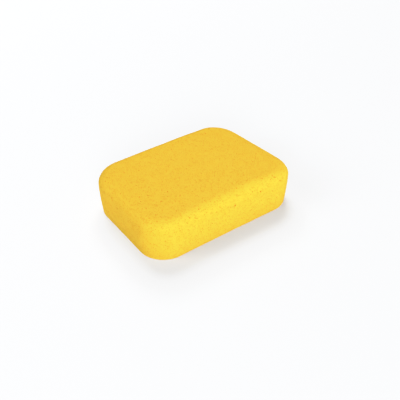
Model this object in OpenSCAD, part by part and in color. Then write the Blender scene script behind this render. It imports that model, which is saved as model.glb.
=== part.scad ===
// Cleaning sponge: one moulded block of open-cell foam, millimetres, +Z up.
// The block is rounded in plan, rolled over along its top edge, and flat underneath.
// The origin is the middle of the flat base, with the length along X and the width along Y.

/* [Block] */
// Length of the block along X
block_l = 190.5; // [150:0.5:230]
// Width of the block along Y
block_w = 139.7; // [110:0.1:170]
// Height of the top face above the base
block_h = 46; // [36:0.5:60]

/* [Edges] */
// Radius of the four upright corners, seen from above
corner_r = 33; // [26:1:50]
// Radius that rolls the sides over into the top face
top_edge_r = 13; // [8:0.5:22]
// Radius of the small edge round the base
base_edge_r = 1.5; // [0.5:0.5:4]

/* [Hidden] */
$fn = 96;
foam_yellow = [0.96, 0.79, 0.27];
// Straight stretches of the long sides and of the ends, between the corners
side_run = block_l - 2 * corner_r;
end_run = block_w - 2 * corner_r;
// Height at which the upright wall gives way to the top edge
shoulder_h = block_h - top_edge_r;

// A quarter of a disc, filling the first quadrant
module quarter_disc(r) {
    intersection() {
        circle(r);
        square(r);
    }
}

// Section from an inner plane out to the wall: X is the distance outwards, Y is the height
module wall_section(reach) {
    square([reach - top_edge_r, block_h]);
    translate([0, base_edge_r])
        square([reach, shoulder_h - base_edge_r]);
    translate([reach - top_edge_r, shoulder_h])
        quarter_disc(top_edge_r);
    square([reach - base_edge_r, base_edge_r]);
    translate([reach - base_edge_r, base_edge_r])
        mirror([0, 1])
            quarter_disc(base_edge_r);
}

// A straight wall that faces +X, as long as run along Y, and as deep as reach
module straight_wall(run, reach) {
    rotate([90, 0, 0])
        linear_extrude(height = run, center = true)
            wall_section(reach);
}

// One end of the block, between its two corners
module end_wall() {
    translate([side_run / 2, 0, 0])
        straight_wall(end_run, corner_r);
}

// One long side of the block, from the middle plane out to the wall
module long_wall() {
    rotate([0, 0, 90])
        straight_wall(side_run, block_w / 2);
}

// One upright corner: the wall section turned a quarter round the corner's axis
module round_corner() {
    rotate_extrude(angle = 90)
        wall_section(corner_r);
}

// The whole sponge, in one piece
module foam_block() {
    color(foam_yellow)
        union() {
            for (turn = [0, 180])
                rotate([0, 0, turn]) {
                    end_wall();
                    long_wall();
                    translate([side_run / 2, end_run / 2, 0])
                        round_corner();
                    translate([-side_run / 2, end_run / 2, 0])
                        rotate([0, 0, 90])
                            round_corner();
                }
        }
}

foam_block();
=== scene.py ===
"""A cleaning sponge: one moulded block of open-cell foam, lying flat on a pale floor.

The block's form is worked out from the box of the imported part. Its skin is one closed grid of quads, its
open cells are cut into that skin by a Geometry Nodes tree, and its finish is procedural. Lengths are in
metres and angles in degrees, unless a name says otherwise.
"""

import logging
import math
from dataclasses import dataclass, field
from enum import Enum
from typing import Any

import bpy
import numpy as np
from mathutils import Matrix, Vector, noise


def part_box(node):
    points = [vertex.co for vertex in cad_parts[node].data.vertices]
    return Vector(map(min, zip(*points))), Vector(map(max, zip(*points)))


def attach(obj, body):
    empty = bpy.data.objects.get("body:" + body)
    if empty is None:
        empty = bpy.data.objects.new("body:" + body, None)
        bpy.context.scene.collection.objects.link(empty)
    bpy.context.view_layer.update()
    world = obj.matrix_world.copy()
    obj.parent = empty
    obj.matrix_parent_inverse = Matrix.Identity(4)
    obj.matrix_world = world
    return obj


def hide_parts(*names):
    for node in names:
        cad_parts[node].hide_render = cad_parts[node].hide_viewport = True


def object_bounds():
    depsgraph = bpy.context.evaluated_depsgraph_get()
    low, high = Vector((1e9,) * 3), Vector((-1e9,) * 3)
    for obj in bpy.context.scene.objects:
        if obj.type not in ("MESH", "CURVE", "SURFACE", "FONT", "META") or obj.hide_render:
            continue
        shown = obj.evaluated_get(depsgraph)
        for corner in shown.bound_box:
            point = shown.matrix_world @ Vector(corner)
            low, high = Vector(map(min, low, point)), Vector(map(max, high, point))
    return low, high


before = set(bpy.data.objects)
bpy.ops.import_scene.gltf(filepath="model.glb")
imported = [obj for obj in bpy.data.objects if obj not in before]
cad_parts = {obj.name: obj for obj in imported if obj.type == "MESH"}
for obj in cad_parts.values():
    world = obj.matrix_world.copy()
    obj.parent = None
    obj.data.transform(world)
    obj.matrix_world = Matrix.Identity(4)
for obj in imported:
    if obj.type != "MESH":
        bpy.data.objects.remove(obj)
cad_low, cad_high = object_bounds()

MM = 0.001
log = logging.getLogger("cleaning_sponge")


class Side(Enum):
    """The four sides of the block, each by the way that it faces along X and Y."""

    FRONT = (0, -1)
    BACK = (0, 1)
    LEFT = (-1, 0)
    RIGHT = (1, 0)


class Corner(Enum):
    """The four upright corners of the block, each by its signs along X and Y."""

    FRONT_LEFT = (-1, -1)
    FRONT_RIGHT = (1, -1)
    BACK_LEFT = (-1, 1)
    BACK_RIGHT = (1, 1)


@dataclass
class NodeBuilder:
    """Adds nodes to one node tree and links them."""

    tree: bpy.types.NodeTree

    def add(self, kind: str, inputs: dict[Any, Any] | None = None, **settings: Any) -> bpy.types.Node:
        """Adds one node.

        Args:
            kind: The node's Blender type.
            inputs: For each input, by name or number, its value or the output socket that feeds it.
            settings: Properties set on the node itself, before its inputs.

        Returns:
            The new node.
        """
        node = self.tree.nodes.new(kind)
        for name, value in settings.items():
            setattr(node, name, value)
        for key, value in (inputs or {}).items():
            self.feed(node.inputs[key], value)
        return node

    def feed(self, socket: bpy.types.NodeSocket, value: Any) -> None:
        """Gives an input socket a constant, or links an output socket to it.

        Args:
            socket: The input socket.
            value: A constant of the socket's kind, or an output socket.
        """
        if isinstance(value, bpy.types.NodeSocket):
            self.tree.links.new(value, socket)
        else:
            socket.default_value = value

    def math(self, operation: str, *values: Any) -> bpy.types.NodeSocket:
        """Works out one number from others.

        Args:
            operation: The Math node's operation.
            values: Its operands, constants or sockets.

        Returns:
            The result's socket.
        """
        return self.add("ShaderNodeMath", dict(enumerate(values)), operation=operation).outputs[0]

    def ramp(
        self, value: Any, low: float, high: float, start: float = 0.0, end: float = 1.0
    ) -> bpy.types.NodeSocket:
        """Maps a number smoothly from one range to another, and holds it at the ends.

        Args:
            value: The number, a constant or a socket.
            low: The value that gives start.
            high: The value that gives end.
            start: The result at low.
            end: The result at high.

        Returns:
            The result's socket.
        """
        inputs = {"Value": value, "From Min": low, "From Max": high, "To Min": start, "To Max": end}
        return self.add("ShaderNodeMapRange", inputs, interpolation_type="SMOOTHSTEP").outputs["Result"]

    def mix(self, factor: Any, first: Any, second: Any, blend: str = "MIX") -> bpy.types.NodeSocket:
        """Mixes two colours.

        Args:
            factor: The share of the second colour.
            first: The first colour.
            second: The second colour.
            blend: The way that they are mixed.

        Returns:
            The mixed colour's socket.
        """
        node = self.add("ShaderNodeMix", data_type="RGBA", blend_type=blend)
        self.feed(node.inputs["Factor"], factor)
        self.feed(node.inputs["A"], first)
        self.feed(node.inputs["B"], second)
        return node.outputs["Result"]


@dataclass(frozen=True)
class FoamFinish:
    """Dry yellow open-cell foam: matt and faintly mottled, with painted shade in its hollows and cut cells.
    """

    skin: tuple[float, float, float, float] = (0.99, 0.612, 0.050, 1.0)
    pale: tuple[float, float, float, float] = (0.99, 0.63, 0.054, 1.0)
    # Painted shade: cell for the coarse hollows and shallow cell walls, depth for the fine hollows and
    # deepest walls
    cell: tuple[float, float, float, float] = (0.92, 0.30, 0.015, 1.0)
    depth: tuple[float, float, float, float] = (0.84, 0.23, 0.013, 1.0)
    mottle_size: float = 9 * MM
    mottle_band: tuple[float, float] = (0.35, 0.65)
    # Bumped hollows with painted shade: their size, the share left unmarked, and the painted shade's strength
    coarse_cell: float = 1.5 * MM
    coarse_skipped: float = 0.35
    coarse_shade_strength: float = 0.8
    coarse_bump: float = 0.6
    fine_cell: float = 1.0 * MM
    fine_skipped: float = 0.3
    fine_shade_strength: float = 0.9
    # The edge of a hollow's painted shade, as distances from its middle in cells
    hollow_spot_edge: tuple[float, float] = (0.12, 0.42)
    # Depths under the skin over which a cut cell's wall takes each of its two colours of painted shade
    cell_shade_depths: tuple[float, float] = (0.02 * MM, 0.3 * MM)
    deep_shade_depths: tuple[float, float] = (0.2 * MM, 0.9 * MM)
    roughness: float = 1.0
    specular: float = 0.05
    bump_height: float = 0.35 * MM
    bump_strength: float = 0.9

    def material(self) -> bpy.types.Material:
        """Builds the foam's material.

        Returns:
            The material, which reads Object coordinates and the cells' depth attribute.
        """
        made = bpy.data.materials.new("yellow_foam")
        made.use_nodes = True
        made.node_tree.nodes.clear()
        build = NodeBuilder(made.node_tree)
        place = build.add("ShaderNodeTexCoord").outputs["Object"]
        mottle = build.add(
            "ShaderNodeTexNoise",
            {"Vector": place, "Scale": 1 / self.mottle_size, "Detail": 3.0, "Roughness": 0.6},
        ).outputs["Fac"]
        colour = build.mix(build.ramp(mottle, *self.mottle_band), self.skin, self.pale)
        coarse = self.hollow_spots(build, place, self.coarse_cell, self.coarse_skipped)
        fine = self.hollow_spots(build, place, self.fine_cell, self.fine_skipped)
        # Painted shade in the middles of the bumped hollows
        colour = build.mix(build.math("MULTIPLY", coarse, self.coarse_shade_strength), colour, self.cell)
        colour = build.mix(build.math("MULTIPLY", fine, self.fine_shade_strength), colour, self.depth)
        # Painted shade on the cut cells' walls, darker the deeper they lie under the skin
        inside = build.add("ShaderNodeAttribute", attribute_name=FoamCells.DEPTH_NAME).outputs["Fac"]
        colour = build.mix(build.ramp(inside, *self.cell_shade_depths), colour, self.cell)
        colour = build.mix(build.ramp(inside, *self.deep_shade_depths), colour, self.depth)
        hollows = build.math("ADD", build.math("MULTIPLY", coarse, self.coarse_bump), fine)
        height = build.math("SUBTRACT", 1.0, hollows)
        bump = build.add(
            "ShaderNodeBump", {"Height": height, "Distance": self.bump_height, "Strength": self.bump_strength}
        ).outputs["Normal"]
        shader = build.add(
            "ShaderNodeBsdfPrincipled",
            {
                "Base Color": colour,
                "Roughness": self.roughness,
                "Specular IOR Level": self.specular,
                "Normal": bump,
            },
        )
        build.add("ShaderNodeOutputMaterial", {"Surface": shader.outputs["BSDF"]})
        return made

    def hollow_spots(
        self, build: NodeBuilder, place: bpy.types.NodeSocket, size: float, skipped: float
    ) -> bpy.types.NodeSocket:
        """Marks the middles of some cells of a random cell pattern, as hollows with painted shade.

        Args:
            build: The material's node builder.
            place: The coordinates that the pattern is laid out in.
            size: The cells' size.
            skipped: The share of the cells that stay unmarked.

        Returns:
            A number that is 1 in the middle of a marked cell and 0 outside it.
        """
        cells = build.add("ShaderNodeTexVoronoi", {"Vector": place, "Scale": 1 / size, "Randomness": 1.0})
        middle = build.ramp(cells.outputs["Distance"], *self.hollow_spot_edge, 1.0, 0.0)
        lot = build.add("ShaderNodeSeparateColor", {"Color": cells.outputs["Color"]}).outputs["Red"]
        return build.math("MULTIPLY", middle, build.ramp(lot, skipped, 1.0))


@dataclass(frozen=True)
class FloorFinish:
    """The studio's matt pale floor, lifted a little so that it stays pale where no softbox reaches it."""

    colour: tuple[float, float, float, float] = (0.275, 0.28, 0.287, 1.0)
    lift: float = 0.30
    roughness: float = 0.8

    def material(self) -> bpy.types.Material:
        """Builds the floor's material.

        Returns:
            The material.
        """
        made = bpy.data.materials.new("studio_white")
        made.use_nodes = True
        shader = made.node_tree.nodes["Principled BSDF"]
        shader.inputs["Base Color"].default_value = self.colour
        shader.inputs["Roughness"].default_value = self.roughness
        shader.inputs["Specular IOR Level"].default_value = 0.0
        shader.inputs["Emission Color"].default_value = (1.0, 1.0, 1.0, 1.0)
        shader.inputs["Emission Strength"].default_value = self.lift
        return made


@dataclass
class BlockForm:
    """The smooth form of the foam block, before its cells are opened.

    The block is a rounded rectangle in plan. Its sides roll over into the top face along a wide quarter
    round, draw in a little towards the base, and meet the base at a small edge. The grid of the skin is that
    of a box whose faces are laid round this form.
    """

    length: float
    width: float
    height: float
    corner_radii: dict[Corner, float] = field(
        default_factory=lambda: {
            Corner.FRONT_LEFT: 31.3 * MM,
            Corner.FRONT_RIGHT: 33.5 * MM,
            Corner.BACK_LEFT: 34.8 * MM,
            Corner.BACK_RIGHT: 31.8 * MM,
        }
    )
    roll_radii: dict[Side, float] = field(
        default_factory=lambda: {
            Side.FRONT: 13 * MM,
            Side.BACK: 11.7 * MM,
            Side.LEFT: 11.7 * MM,
            Side.RIGHT: 13.5 * MM,
        }
    )
    # The roll that the grid is spaced for
    even_roll: float = 13 * MM
    # How much tighter the front's roll is at its ends than in its middle
    front_roll_loss: float = 3.9 * MM
    foot_radius: float = 1.0 * MM
    foot_inset: float = 2.1 * MM
    grid_pitch: float = 2.0 * MM
    foot_steps: int = 3
    # Slow departures of moulded foam from a true block
    crown_along: float = 1.05 * MM
    crown_across: float = 0.5 * MM
    end_lift: float = 0.36 * MM
    top_wave: float = 1.45 * MM
    front_skew: float = 0.4 * MM
    front_bow: float = 0.8 * MM
    back_skew: float = 0.8 * MM
    left_skew: float = 2.1 * MM
    right_skew: float = 1.65 * MM
    dimple_height: float = 0.22 * MM
    dimple_size: float = 17 * MM
    # Never 0, which would seed the dimples from the clock
    dimple_seed: int = 11

    def counts(self) -> tuple[int, int, int, int, int]:
        """Counts the grid's steps.

        Returns:
            The steps along X, along Y, down the lower half of the roll, down the wall, and from the base up
            to the top face.
        """
        half_arc = self.even_roll * math.pi / 4
        along = round(2 * (self.length / 2 - self.even_roll + half_arc) / self.grid_pitch)
        across = round(2 * (self.width / 2 - self.even_roll + half_arc) / self.grid_pitch)
        roll = round(half_arc / self.grid_pitch)
        wall = round((self.height - self.even_roll - self.foot_radius) / self.grid_pitch)
        return along, across, roll, wall, self.foot_steps + wall + roll

    def lattice(self) -> tuple[np.ndarray, list[tuple[int, int, int, int]]]:
        """Lays a grid over the six faces of a box.

        Returns:
            The grid points, each as its three whole steps, and the quads that join them, facing outwards.
        """
        along, across, _, _, up = self.counts()
        number: dict[tuple[int, int, int], int] = {}

        def at(i: int, j: int, k: int) -> int:
            """Gives a grid point its number, the same for every face that it is on."""
            return number.setdefault((i, j, k), len(number))

        quads = []
        for i in range(along):
            for j in range(across):
                quads.append((at(i, j, up), at(i + 1, j, up), at(i + 1, j + 1, up), at(i, j + 1, up)))
                quads.append((at(i, j, 0), at(i, j + 1, 0), at(i + 1, j + 1, 0), at(i + 1, j, 0)))
        for k in range(up):
            for i in range(along):
                quads.append((at(i, 0, k), at(i + 1, 0, k), at(i + 1, 0, k + 1), at(i, 0, k + 1)))
                quads.append(
                    (at(i, across, k), at(i, across, k + 1), at(i + 1, across, k + 1), at(i + 1, across, k))
                )
            for j in range(across):
                quads.append((at(0, j, k), at(0, j, k + 1), at(0, j + 1, k + 1), at(0, j + 1, k)))
                quads.append(
                    (at(along, j, k), at(along, j + 1, k), at(along, j + 1, k + 1), at(along, j, k + 1))
                )
        return np.array(list(number)), quads

    def roll_at(self, way: np.ndarray, share: np.ndarray) -> np.ndarray:
        """Finds the roll's radius, which passes smoothly from one side to the next round a corner.

        Args:
            way: The way out of the block at each point, in plan.
            share: Each point's place along the length, from -1 to 1.

        Returns:
            The radius at each point.
        """
        front = self.roll_radii[Side.FRONT] - self.front_roll_loss * share**2
        facing_x = np.where(way[:, 0] < 0, self.roll_radii[Side.LEFT], self.roll_radii[Side.RIGHT])
        facing_y = np.where(way[:, 1] < 0, front, self.roll_radii[Side.BACK])
        return facing_x * way[:, 0] ** 2 + facing_y * way[:, 1] ** 2

    def laid_round(self, steps: np.ndarray) -> np.ndarray:
        """Lays the grid's points round the block.

        Args:
            steps: The grid points, each as its three whole steps.

        Returns:
            Their places.
        """
        along, across, roll_steps, wall_steps, up = self.counts()
        half = np.array([self.length, self.width]) / 2
        half_arc = self.even_roll * math.pi / 4
        flat = (2 * steps[:, :2] / (along, across) - 1) * (half - self.even_roll + half_arc)
        sign = np.where(flat < 0, -1, 1)
        radius = np.zeros(len(steps))
        for corner, corner_radius in self.corner_radii.items():
            radius[(sign == corner.value).all(axis=1)] = corner_radius
        core = half - radius[:, None]
        band = radius - self.even_roll + half_arc
        square = np.clip(np.abs(flat) - core, 0, None) / band[:, None]
        disc = square * np.sqrt(1 - square[:, ::-1] ** 2 / 2)
        reach = np.hypot(disc[:, 0], disc[:, 1])
        way = sign * disc / np.maximum(reach, 1e-9)[:, None]
        roll = self.roll_at(way, flat[:, 0] / half[0])

        # Out from the corner's axis, and up, for each of the faces and bands in turn
        k = steps[:, 2]
        flat_reach = radius - self.even_roll
        on_top = k == up
        turned = np.where(on_top, (reach * band - flat_reach) / half_arc, 1 + (up - k) / roll_steps)
        angle = np.clip(turned, 0, 2) * math.pi / 4
        out = radius - roll + roll * np.sin(angle)
        height = self.height - roll + roll * np.cos(angle)
        inner = on_top & (turned < 0)
        out = np.where(inner, reach * band * (radius - roll) / flat_reach, out)
        shoulder = self.height - roll
        wall_share = (k - self.foot_steps) / wall_steps
        on_wall = (k >= self.foot_steps) & (k <= self.foot_steps + wall_steps)
        height = np.where(on_wall, self.foot_radius + wall_share * (shoulder - self.foot_radius), height)
        inset = self.foot_inset * np.clip(1 - height / shoulder, 0, 1) ** 2
        on_foot = k < self.foot_steps
        foot_angle = (1 - k / self.foot_steps) * math.pi / 2
        height = np.where(on_foot, self.foot_radius * (1 - np.sin(foot_angle)), height)
        tuck = self.foot_radius * (1 - np.cos(foot_angle))
        inset = np.where(on_foot, self.foot_inset + tuck, inset)
        out = np.where(on_wall | on_foot, reach * (radius - inset), out)
        plan = np.clip(flat, -core, core) + way * out[:, None]
        return np.column_stack([plan, height])

    def settled(self, points: np.ndarray) -> np.ndarray:
        """Gives the true block the slow unevenness of moulded foam. The base stays flat.

        Args:
            points: Places on the true block.

        Returns:
            The same places on the uneven one.
        """
        u = points[:, 0] / (self.length / 2)
        v = points[:, 1] / (self.width / 2)
        lifted = points[:, 2] / self.height
        rise = self.end_lift * u - self.top_wave * (u**3 - 0.6 * u)
        rise -= self.crown_along * (u**2 - 0.33) + self.crown_across * (v**2 - 0.33)
        along = np.where(u < 0, self.left_skew * v, -self.right_skew * v) * np.abs(u)
        front = -self.front_skew * u - self.front_bow * (u**2 - 0.5)
        across = np.where(v < 0, front, self.back_skew * u) * np.abs(v)
        moved = points + np.column_stack([along, across, rise * lifted])
        noise.seed_set(self.dimple_seed)
        for row, point in zip(moved, points, strict=True):
            shove = noise.noise_vector(Vector(point) / self.dimple_size) * self.dimple_height
            row += np.array(shove) * (1, 1, min(1.0, point[2] / self.even_roll))
        return moved

    def mesh(self, name: str) -> bpy.types.Mesh:
        """Builds the block's smooth skin.

        Args:
            name: The mesh's name.

        Returns:
            The closed mesh.
        """
        steps, quads = self.lattice()
        made = bpy.data.meshes.new(name)
        made.from_pydata(self.settled(self.laid_round(steps)).tolist(), [], quads)
        made.update()
        made.shade_smooth()
        return made


@dataclass(frozen=True)
class CellSize:
    """One size of open cell: how densely it is scattered over a square metre and how its radii are spread."""

    name: str
    spacing: float
    density: float
    smallest: float
    largest: float
    rarity: float
    facets: int

    def inputs(self) -> dict[str, tuple[str, Any]]:
        """Lists this size's named inputs in the node tree.

        Returns:
            For each input's name, its socket type and its value.
        """
        return {
            f"{self.name} spacing": ("NodeSocketFloat", self.spacing),
            f"{self.name} density": ("NodeSocketFloat", self.density),
            f"{self.name} smallest radius": ("NodeSocketFloat", self.smallest),
            f"{self.name} largest radius": ("NodeSocketFloat", self.largest),
            f"{self.name} rarity of large": ("NodeSocketFloat", self.rarity),
        }


@dataclass
class FoamCells:
    """The open cells of the foam: rounded hollows scattered over the skin and cut into it."""

    DEPTH_NAME = "cell_depth"

    fine: CellSize = CellSize(
        name="Fine",
        spacing=1.9 * MM,
        density=33000.0,
        smallest=0.28 * MM,
        largest=0.62 * MM,
        rarity=2.5,
        facets=1,
    )
    coarse: CellSize = CellSize(
        name="Coarse",
        spacing=5.0 * MM,
        density=3300.0,
        smallest=0.5 * MM,
        largest=0.9 * MM,
        rarity=4.0,
        facets=2,
    )
    sunk: float = 0.35
    uneven: float = 0.3
    rim_angle: float = 32.0
    # A bit of foam with fewer points than this was cut free of the block, and is left out
    crumb: int = 500
    seed: int = 7

    def inputs(self) -> dict[str, tuple[str, Any]]:
        """Lists the tree's named inputs.

        Returns:
            For each input's name, its socket type and the value that the modifier gives it.
        """
        shared = {
            "Sunk share": ("NodeSocketFloat", self.sunk),
            "Unevenness": ("NodeSocketFloat", self.uneven),
            "Rim angle": ("NodeSocketFloat", math.radians(self.rim_angle)),
            "Crumb points": ("NodeSocketInt", self.crumb),
            "Seed": ("NodeSocketInt", self.seed),
        }
        return self.fine.inputs() | self.coarse.inputs() | shared

    def tree(self, material: bpy.types.Material) -> bpy.types.NodeTree:
        """Builds the Geometry Nodes tree that scatters the cells and cuts them.

        Args:
            material: The finish of the skin and of the cells' walls.

        Returns:
            The tree.
        """
        made = bpy.data.node_groups.new("open_cells", "GeometryNodeTree")
        made.interface.new_socket("Skin", in_out="INPUT", socket_type="NodeSocketGeometry")
        for name, (kind, _) in self.inputs().items():
            made.interface.new_socket(name, in_out="INPUT", socket_type=kind)
        made.interface.new_socket("Foam", in_out="OUTPUT", socket_type="NodeSocketGeometry")
        build = NodeBuilder(made)
        given = build.add("NodeGroupInput").outputs
        skin = given["Skin"]

        hollows = build.add("GeometryNodeJoinGeometry")
        for number, size in enumerate((self.fine, self.coarse)):
            build.feed(hollows.inputs["Geometry"], self.hollows(build, given, size, number * 10))
        cut = build.add(
            "GeometryNodeMeshBoolean",
            {"Mesh 1": skin, "Mesh 2": hollows.outputs["Geometry"]},
            operation="DIFFERENCE",
            solver="MANIFOLD",
        ).outputs["Mesh"]
        piece = build.add("GeometryNodeInputMeshIsland").outputs["Island Index"]
        points = build.add("GeometryNodeAccumulateField", {"Value": 1.0, "Group ID": piece})
        loose = build.math("LESS_THAN", points.outputs["Total"], given["Crumb points"])
        swept = build.add("GeometryNodeDeleteGeometry", {"Geometry": cut, "Selection": loose})
        depth = build.add("GeometryNodeProximity", {0: skin}, target_element="FACES").outputs["Distance"]
        marked = build.add(
            "GeometryNodeStoreNamedAttribute",
            {"Geometry": swept.outputs["Geometry"], "Name": self.DEPTH_NAME, "Value": depth},
            data_type="FLOAT",
            domain="POINT",
        ).outputs["Geometry"]
        fold = build.add("GeometryNodeInputMeshEdgeAngle").outputs["Unsigned Angle"]
        soft = build.math("LESS_THAN", fold, given["Rim angle"])
        smooth = build.add(
            "GeometryNodeSetShadeSmooth", {"Geometry": marked, "Shade Smooth": True}, domain="FACE"
        )
        rimmed = build.add(
            "GeometryNodeSetShadeSmooth",
            {"Geometry": smooth.outputs["Geometry"], "Shade Smooth": soft},
            domain="EDGE",
        )
        whole = build.add("GeometryNodeRealizeInstances", {"Geometry": rimmed.outputs["Geometry"]})
        dressed = build.add(
            "GeometryNodeSetMaterial", {"Geometry": whole.outputs["Geometry"], "Material": material}
        ).outputs["Geometry"]
        build.add("NodeGroupOutput", {"Foam": dressed})
        return made

    def hollows(self, build: NodeBuilder, given: Any, size: CellSize, shuffle: int) -> bpy.types.NodeSocket:
        """Scatters one size of hollow over the skin.

        Args:
            build: The tree's node builder.
            given: The tree's input sockets, by name.
            size: The size of hollow.
            shuffle: A whole number that sets this size's random numbers apart from another's.

        Returns:
            The realized balls that stand where the hollows are to be.
        """
        seeds = [build.math("ADD", given["Seed"], float(shuffle + step)) for step in range(4)]
        scatter = build.add(
            "GeometryNodeDistributePointsOnFaces",
            {
                "Mesh": given["Skin"],
                "Distance Min": given[f"{size.name} spacing"],
                "Density Max": given[f"{size.name} density"],
                "Seed": seeds[0],
            },
            distribute_method="POISSON",
        )
        lot = build.add("FunctionNodeRandomValue", {"Seed": seeds[1]}, data_type="FLOAT").outputs[1]
        rare = build.math("POWER", lot, given[f"{size.name} rarity of large"])
        smallest = given[f"{size.name} smallest radius"]
        span = build.math("SUBTRACT", given[f"{size.name} largest radius"], smallest)
        radius = build.math("MULTIPLY_ADD", rare, span, smallest)
        sink = build.math("MULTIPLY", build.math("MULTIPLY", radius, given["Sunk share"]), -1.0)
        normal = scatter.outputs["Normal"]
        down = build.add("ShaderNodeVectorMath", {0: normal, "Scale": sink}, operation="SCALE")
        middles = build.add(
            "GeometryNodeSetPosition",
            {"Geometry": scatter.outputs["Points"], "Offset": down.outputs["Vector"]},
        ).outputs["Geometry"]

        low = build.math("SUBTRACT", 1.0, given["Unevenness"])
        high = build.math("ADD", 1.0, given["Unevenness"])
        vector = {"data_type": "FLOAT_VECTOR"}
        stretch = build.add("FunctionNodeRandomValue", {0: low, 1: high, "Seed": seeds[2]}, **vector)
        turn = build.add("FunctionNodeRandomValue", {1: (math.tau,) * 3, "Seed": seeds[3]}, **vector)
        scale = build.add(
            "ShaderNodeVectorMath", {0: stretch.outputs[0], "Scale": radius}, operation="SCALE"
        )
        ball = build.add("GeometryNodeMeshIcoSphere", {"Radius": 1.0, "Subdivisions": size.facets})
        balls = build.add(
            "GeometryNodeInstanceOnPoints",
            {
                "Points": middles,
                "Instance": ball.outputs["Mesh"],
                "Rotation": turn.outputs[0],
                "Scale": scale.outputs["Vector"],
            },
        ).outputs["Instances"]
        return build.add("GeometryNodeRealizeInstances", {"Geometry": balls}).outputs["Geometry"]

    def opened(self, skin: bpy.types.Object, material: bpy.types.Material) -> bpy.types.Mesh:
        """Cuts the cells into a skin.

        Args:
            skin: The object with the smooth closed skin.
            material: The finish of the foam.

        Returns:
            The plain mesh of the foam with its cells open.
        """
        tree = self.tree(material)
        modifier = skin.modifiers.new("open_cells", "NODES")
        modifier.node_group = tree
        values = {name: value for name, (_, value) in self.inputs().items()}
        for item in tree.interface.items_tree:
            if item.item_type == "SOCKET" and item.in_out == "INPUT" and item.name in values:
                modifier[item.identifier] = values[item.name]
        graph = bpy.context.evaluated_depsgraph_get()
        made = bpy.data.meshes.new_from_object(skin.evaluated_get(graph), depsgraph=graph)
        skin.modifiers.remove(modifier)
        return made


@dataclass
class FoamBlock:
    """The whole sponge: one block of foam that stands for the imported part's own node."""

    node: str = "foam_block"
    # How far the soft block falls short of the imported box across, and stands above it
    side_give: float = 0.8 * MM
    top_swell: float = 0.7 * MM
    finish: FoamFinish = field(default_factory=FoamFinish)
    cells: FoamCells = field(default_factory=FoamCells)

    def form(self) -> BlockForm:
        """Takes the block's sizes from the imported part.

        Returns:
            The block's smooth form.
        """
        low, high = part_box(self.node)
        size = high - low
        return BlockForm(length=size.x, width=size.y - self.side_give, height=size.z + self.top_swell)

    def build(self) -> bpy.types.Object:
        """Makes the sponge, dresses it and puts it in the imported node's place.

        Returns:
            The finished object.
        """
        material = self.finish.material()
        skin = bpy.data.objects.new("smooth_skin", self.form().mesh("smooth_skin"))
        bpy.context.scene.collection.objects.link(skin)
        mesh = self.cells.opened(skin, material)
        bpy.data.objects.remove(skin)
        mesh.name = "sponge"
        sponge = bpy.data.objects.new("sponge", mesh)
        bpy.context.scene.collection.objects.link(sponge)
        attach(sponge, "root")
        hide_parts(self.node)
        return sponge


class Reach(Enum):
    """What a softbox is flagged off to light. Everything still casts its shadow."""

    ALL = "all"
    SPONGE = "sponge"
    FLOOR = "floor"


@dataclass(frozen=True)
class Softbox:
    """A large soft light that faces the block's middle."""

    name: str
    azimuth: float
    elevation: float
    watts: float
    reach: Reach = Reach.ALL
    distance: float = 5.2
    size: float = 3.6

    def build(self, middle: Vector, lit: dict[Reach, bpy.types.Object]) -> bpy.types.Object:
        """Hangs the light.

        Args:
            middle: The point that it faces.
            lit: The object that a flagged light is kept to.

        Returns:
            The light's object.
        """
        data = bpy.data.lights.new(self.name, "AREA")
        data.shape = "DISK"
        data.size = self.size
        data.energy = self.watts
        light = bpy.data.objects.new(self.name, data)
        bpy.context.scene.collection.objects.link(light)
        back = way_back(self.azimuth, self.elevation)
        light.location = middle + back * self.distance
        light.rotation_euler = (-back).to_track_quat("-Z", "Y").to_euler()
        if self.reach in lit:
            receivers = bpy.data.collections.new(f"lit_by_{self.name}")
            receivers.objects.link(lit[self.reach])
            light.light_linking.receiver_collection = receivers
        return light


@dataclass(frozen=True)
class Viewpoint:
    """Where the camera stands and how it frames the block, which sits a little up and left of the middle."""

    azimuth: float = -37.2
    elevation: float = 35.85
    distance: float = 0.6373
    lens: float = 51.56
    offset_right: float = 0.00776
    offset_up: float = -0.01655

    def build(self, middle: Vector) -> bpy.types.Object:
        """Sets up the scene's camera.

        Args:
            middle: The block's middle.

        Returns:
            The camera.
        """
        camera = bpy.data.objects.new("camera", bpy.data.cameras.new("camera"))
        camera.data.lens = self.lens
        camera.data.clip_start = self.distance / 20
        bpy.context.scene.collection.objects.link(camera)
        back = way_back(self.azimuth, self.elevation)
        turn = (-back).to_track_quat("-Z", "Y")
        sideways = turn @ Vector((self.offset_right, self.offset_up, 0.0))
        camera.location = middle + back * self.distance + sideways
        camera.rotation_euler = turn.to_euler()
        bpy.context.scene.camera = camera
        return camera


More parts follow.
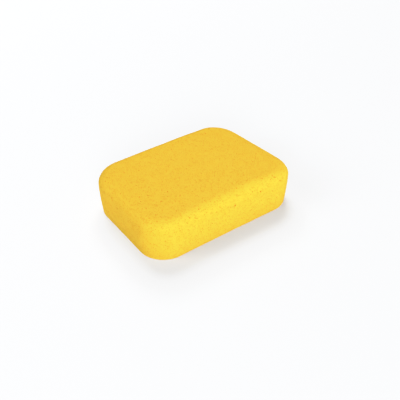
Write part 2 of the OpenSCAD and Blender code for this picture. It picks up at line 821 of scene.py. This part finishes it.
@dataclass
class Studio:
    """The white floor, the soft lights and the camera round the sponge."""

    floor_half: float = 15.0
    horizon: float = 0.6
    floor: FloorFinish = field(default_factory=FloorFinish)
    lights: tuple[Softbox, ...] = (
        Softbox("key", azimuth=-11.0, elevation=17.0, watts=145.0, reach=Reach.SPONGE),
        Softbox("top", azimuth=0.0, elevation=90.0, watts=183.0, reach=Reach.SPONGE),
        Softbox("back_wash", azimuth=153.0, elevation=50.0, watts=625.0, reach=Reach.FLOOR),
        Softbox("front_wash", azimuth=-37.0, elevation=22.0, watts=630.0, reach=Reach.FLOOR),
        Softbox("left_wash", azimuth=-100.0, elevation=32.0, watts=360.0, reach=Reach.FLOOR),
    )
    viewpoint: Viewpoint = field(default_factory=Viewpoint)

    def build(self, sponge: bpy.types.Object) -> None:
        """Lays the floor and sets up the light and the camera.

        Args:
            sponge: The finished sponge.
        """
        middle = (cad_low + cad_high) / 2
        lit = {Reach.SPONGE: sponge, Reach.FLOOR: self.lay_floor(cad_low.z)}
        self.light_surround()
        for softbox in self.lights:
            softbox.build(middle, lit)
        self.viewpoint.build(middle)

    def lay_floor(self, level: float) -> bpy.types.Object:
        """Lays the floor.

        Args:
            level: The height of the surface that the sponge rests on.

        Returns:
            The floor.
        """
        half = self.floor_half
        corners = [(-half, -half, level), (half, -half, level), (half, half, level), (-half, half, level)]
        mesh = bpy.data.meshes.new("studio_floor")
        mesh.from_pydata(corners, [], [(0, 1, 2, 3)])
        mesh.materials.append(self.floor.material())
        floor = bpy.data.objects.new("studio_floor", mesh)
        bpy.context.scene.collection.objects.link(floor)
        return floor

    def light_surround(self) -> None:
        """Lights the scene from all round, palest at the horizon and dark overhead."""
        world = bpy.data.worlds.new("studio")
        world.use_nodes = True
        build = NodeBuilder(world.node_tree)
        way = build.add("ShaderNodeTexCoord").outputs["Generated"]
        climb = build.add("ShaderNodeSeparateXYZ", {"Vector": way}).outputs["Z"]
        strength = build.add(
            "ShaderNodeMapRange",
            {"Value": climb, "From Min": 0.0, "From Max": 1.0, "To Min": self.horizon, "To Max": 0.0},
        ).outputs["Result"]
        background = world.node_tree.nodes["Background"]
        build.feed(background.inputs["Color"], (1.0, 1.0, 1.0, 1.0))
        build.feed(background.inputs["Strength"], strength)
        bpy.context.scene.world = world


@dataclass(frozen=True)
class ViewCurve:
    """How scene brightness becomes print brightness: even, with the brightest rolled off gently to white."""

    # Each knot is a scene value and its print value
    knots: tuple[tuple[float, float], ...] = (
        (0.0, 0.0),
        (0.85, 0.85),
        (0.97, 0.915),
        (1.12, 0.945),
        (1.25, 1.0),
    )

    def apply(self, view: bpy.types.ColorManagedViewSettings) -> None:
        """Sets the curve.

        Args:
            view: The scene's view settings.
        """
        view.view_transform = "Standard"
        view.use_curve_mapping = True
        mapping = view.curve_mapping
        mapping.clip_max_x = self.knots[-1][0]
        curve = mapping.curves[3]
        curve.points[0].location = self.knots[0]
        curve.points[1].location = self.knots[-1]
        for knot in self.knots[1:-1]:
            curve.points.new(*knot)
        for point in curve.points:
            point.handle_type = "VECTOR"
        mapping.update()


def way_back(azimuth: float, elevation: float) -> Vector:
    """Points from the object back to whoever looks at it.

    Args:
        azimuth: The viewer's bearing: 0 looks along +Y, and 90 along -X.
        elevation: The angle above the horizon.

    Returns:
        The unit direction.
    """
    a = math.radians(azimuth)
    e = math.radians(elevation)
    return Vector((math.sin(a) * math.cos(e), -math.cos(a) * math.cos(e), math.sin(e)))


def main() -> None:
    """Builds the sponge and the studio round it."""
    logging.basicConfig(level=logging.INFO, format="%(message)s")
    ViewCurve().apply(bpy.context.scene.view_settings)
    sponge = FoamBlock().build()
    log.info("%s: %d faces", sponge.name, len(sponge.data.polygons))
    Studio().build(sponge)


if __name__ == "__main__":
    main()
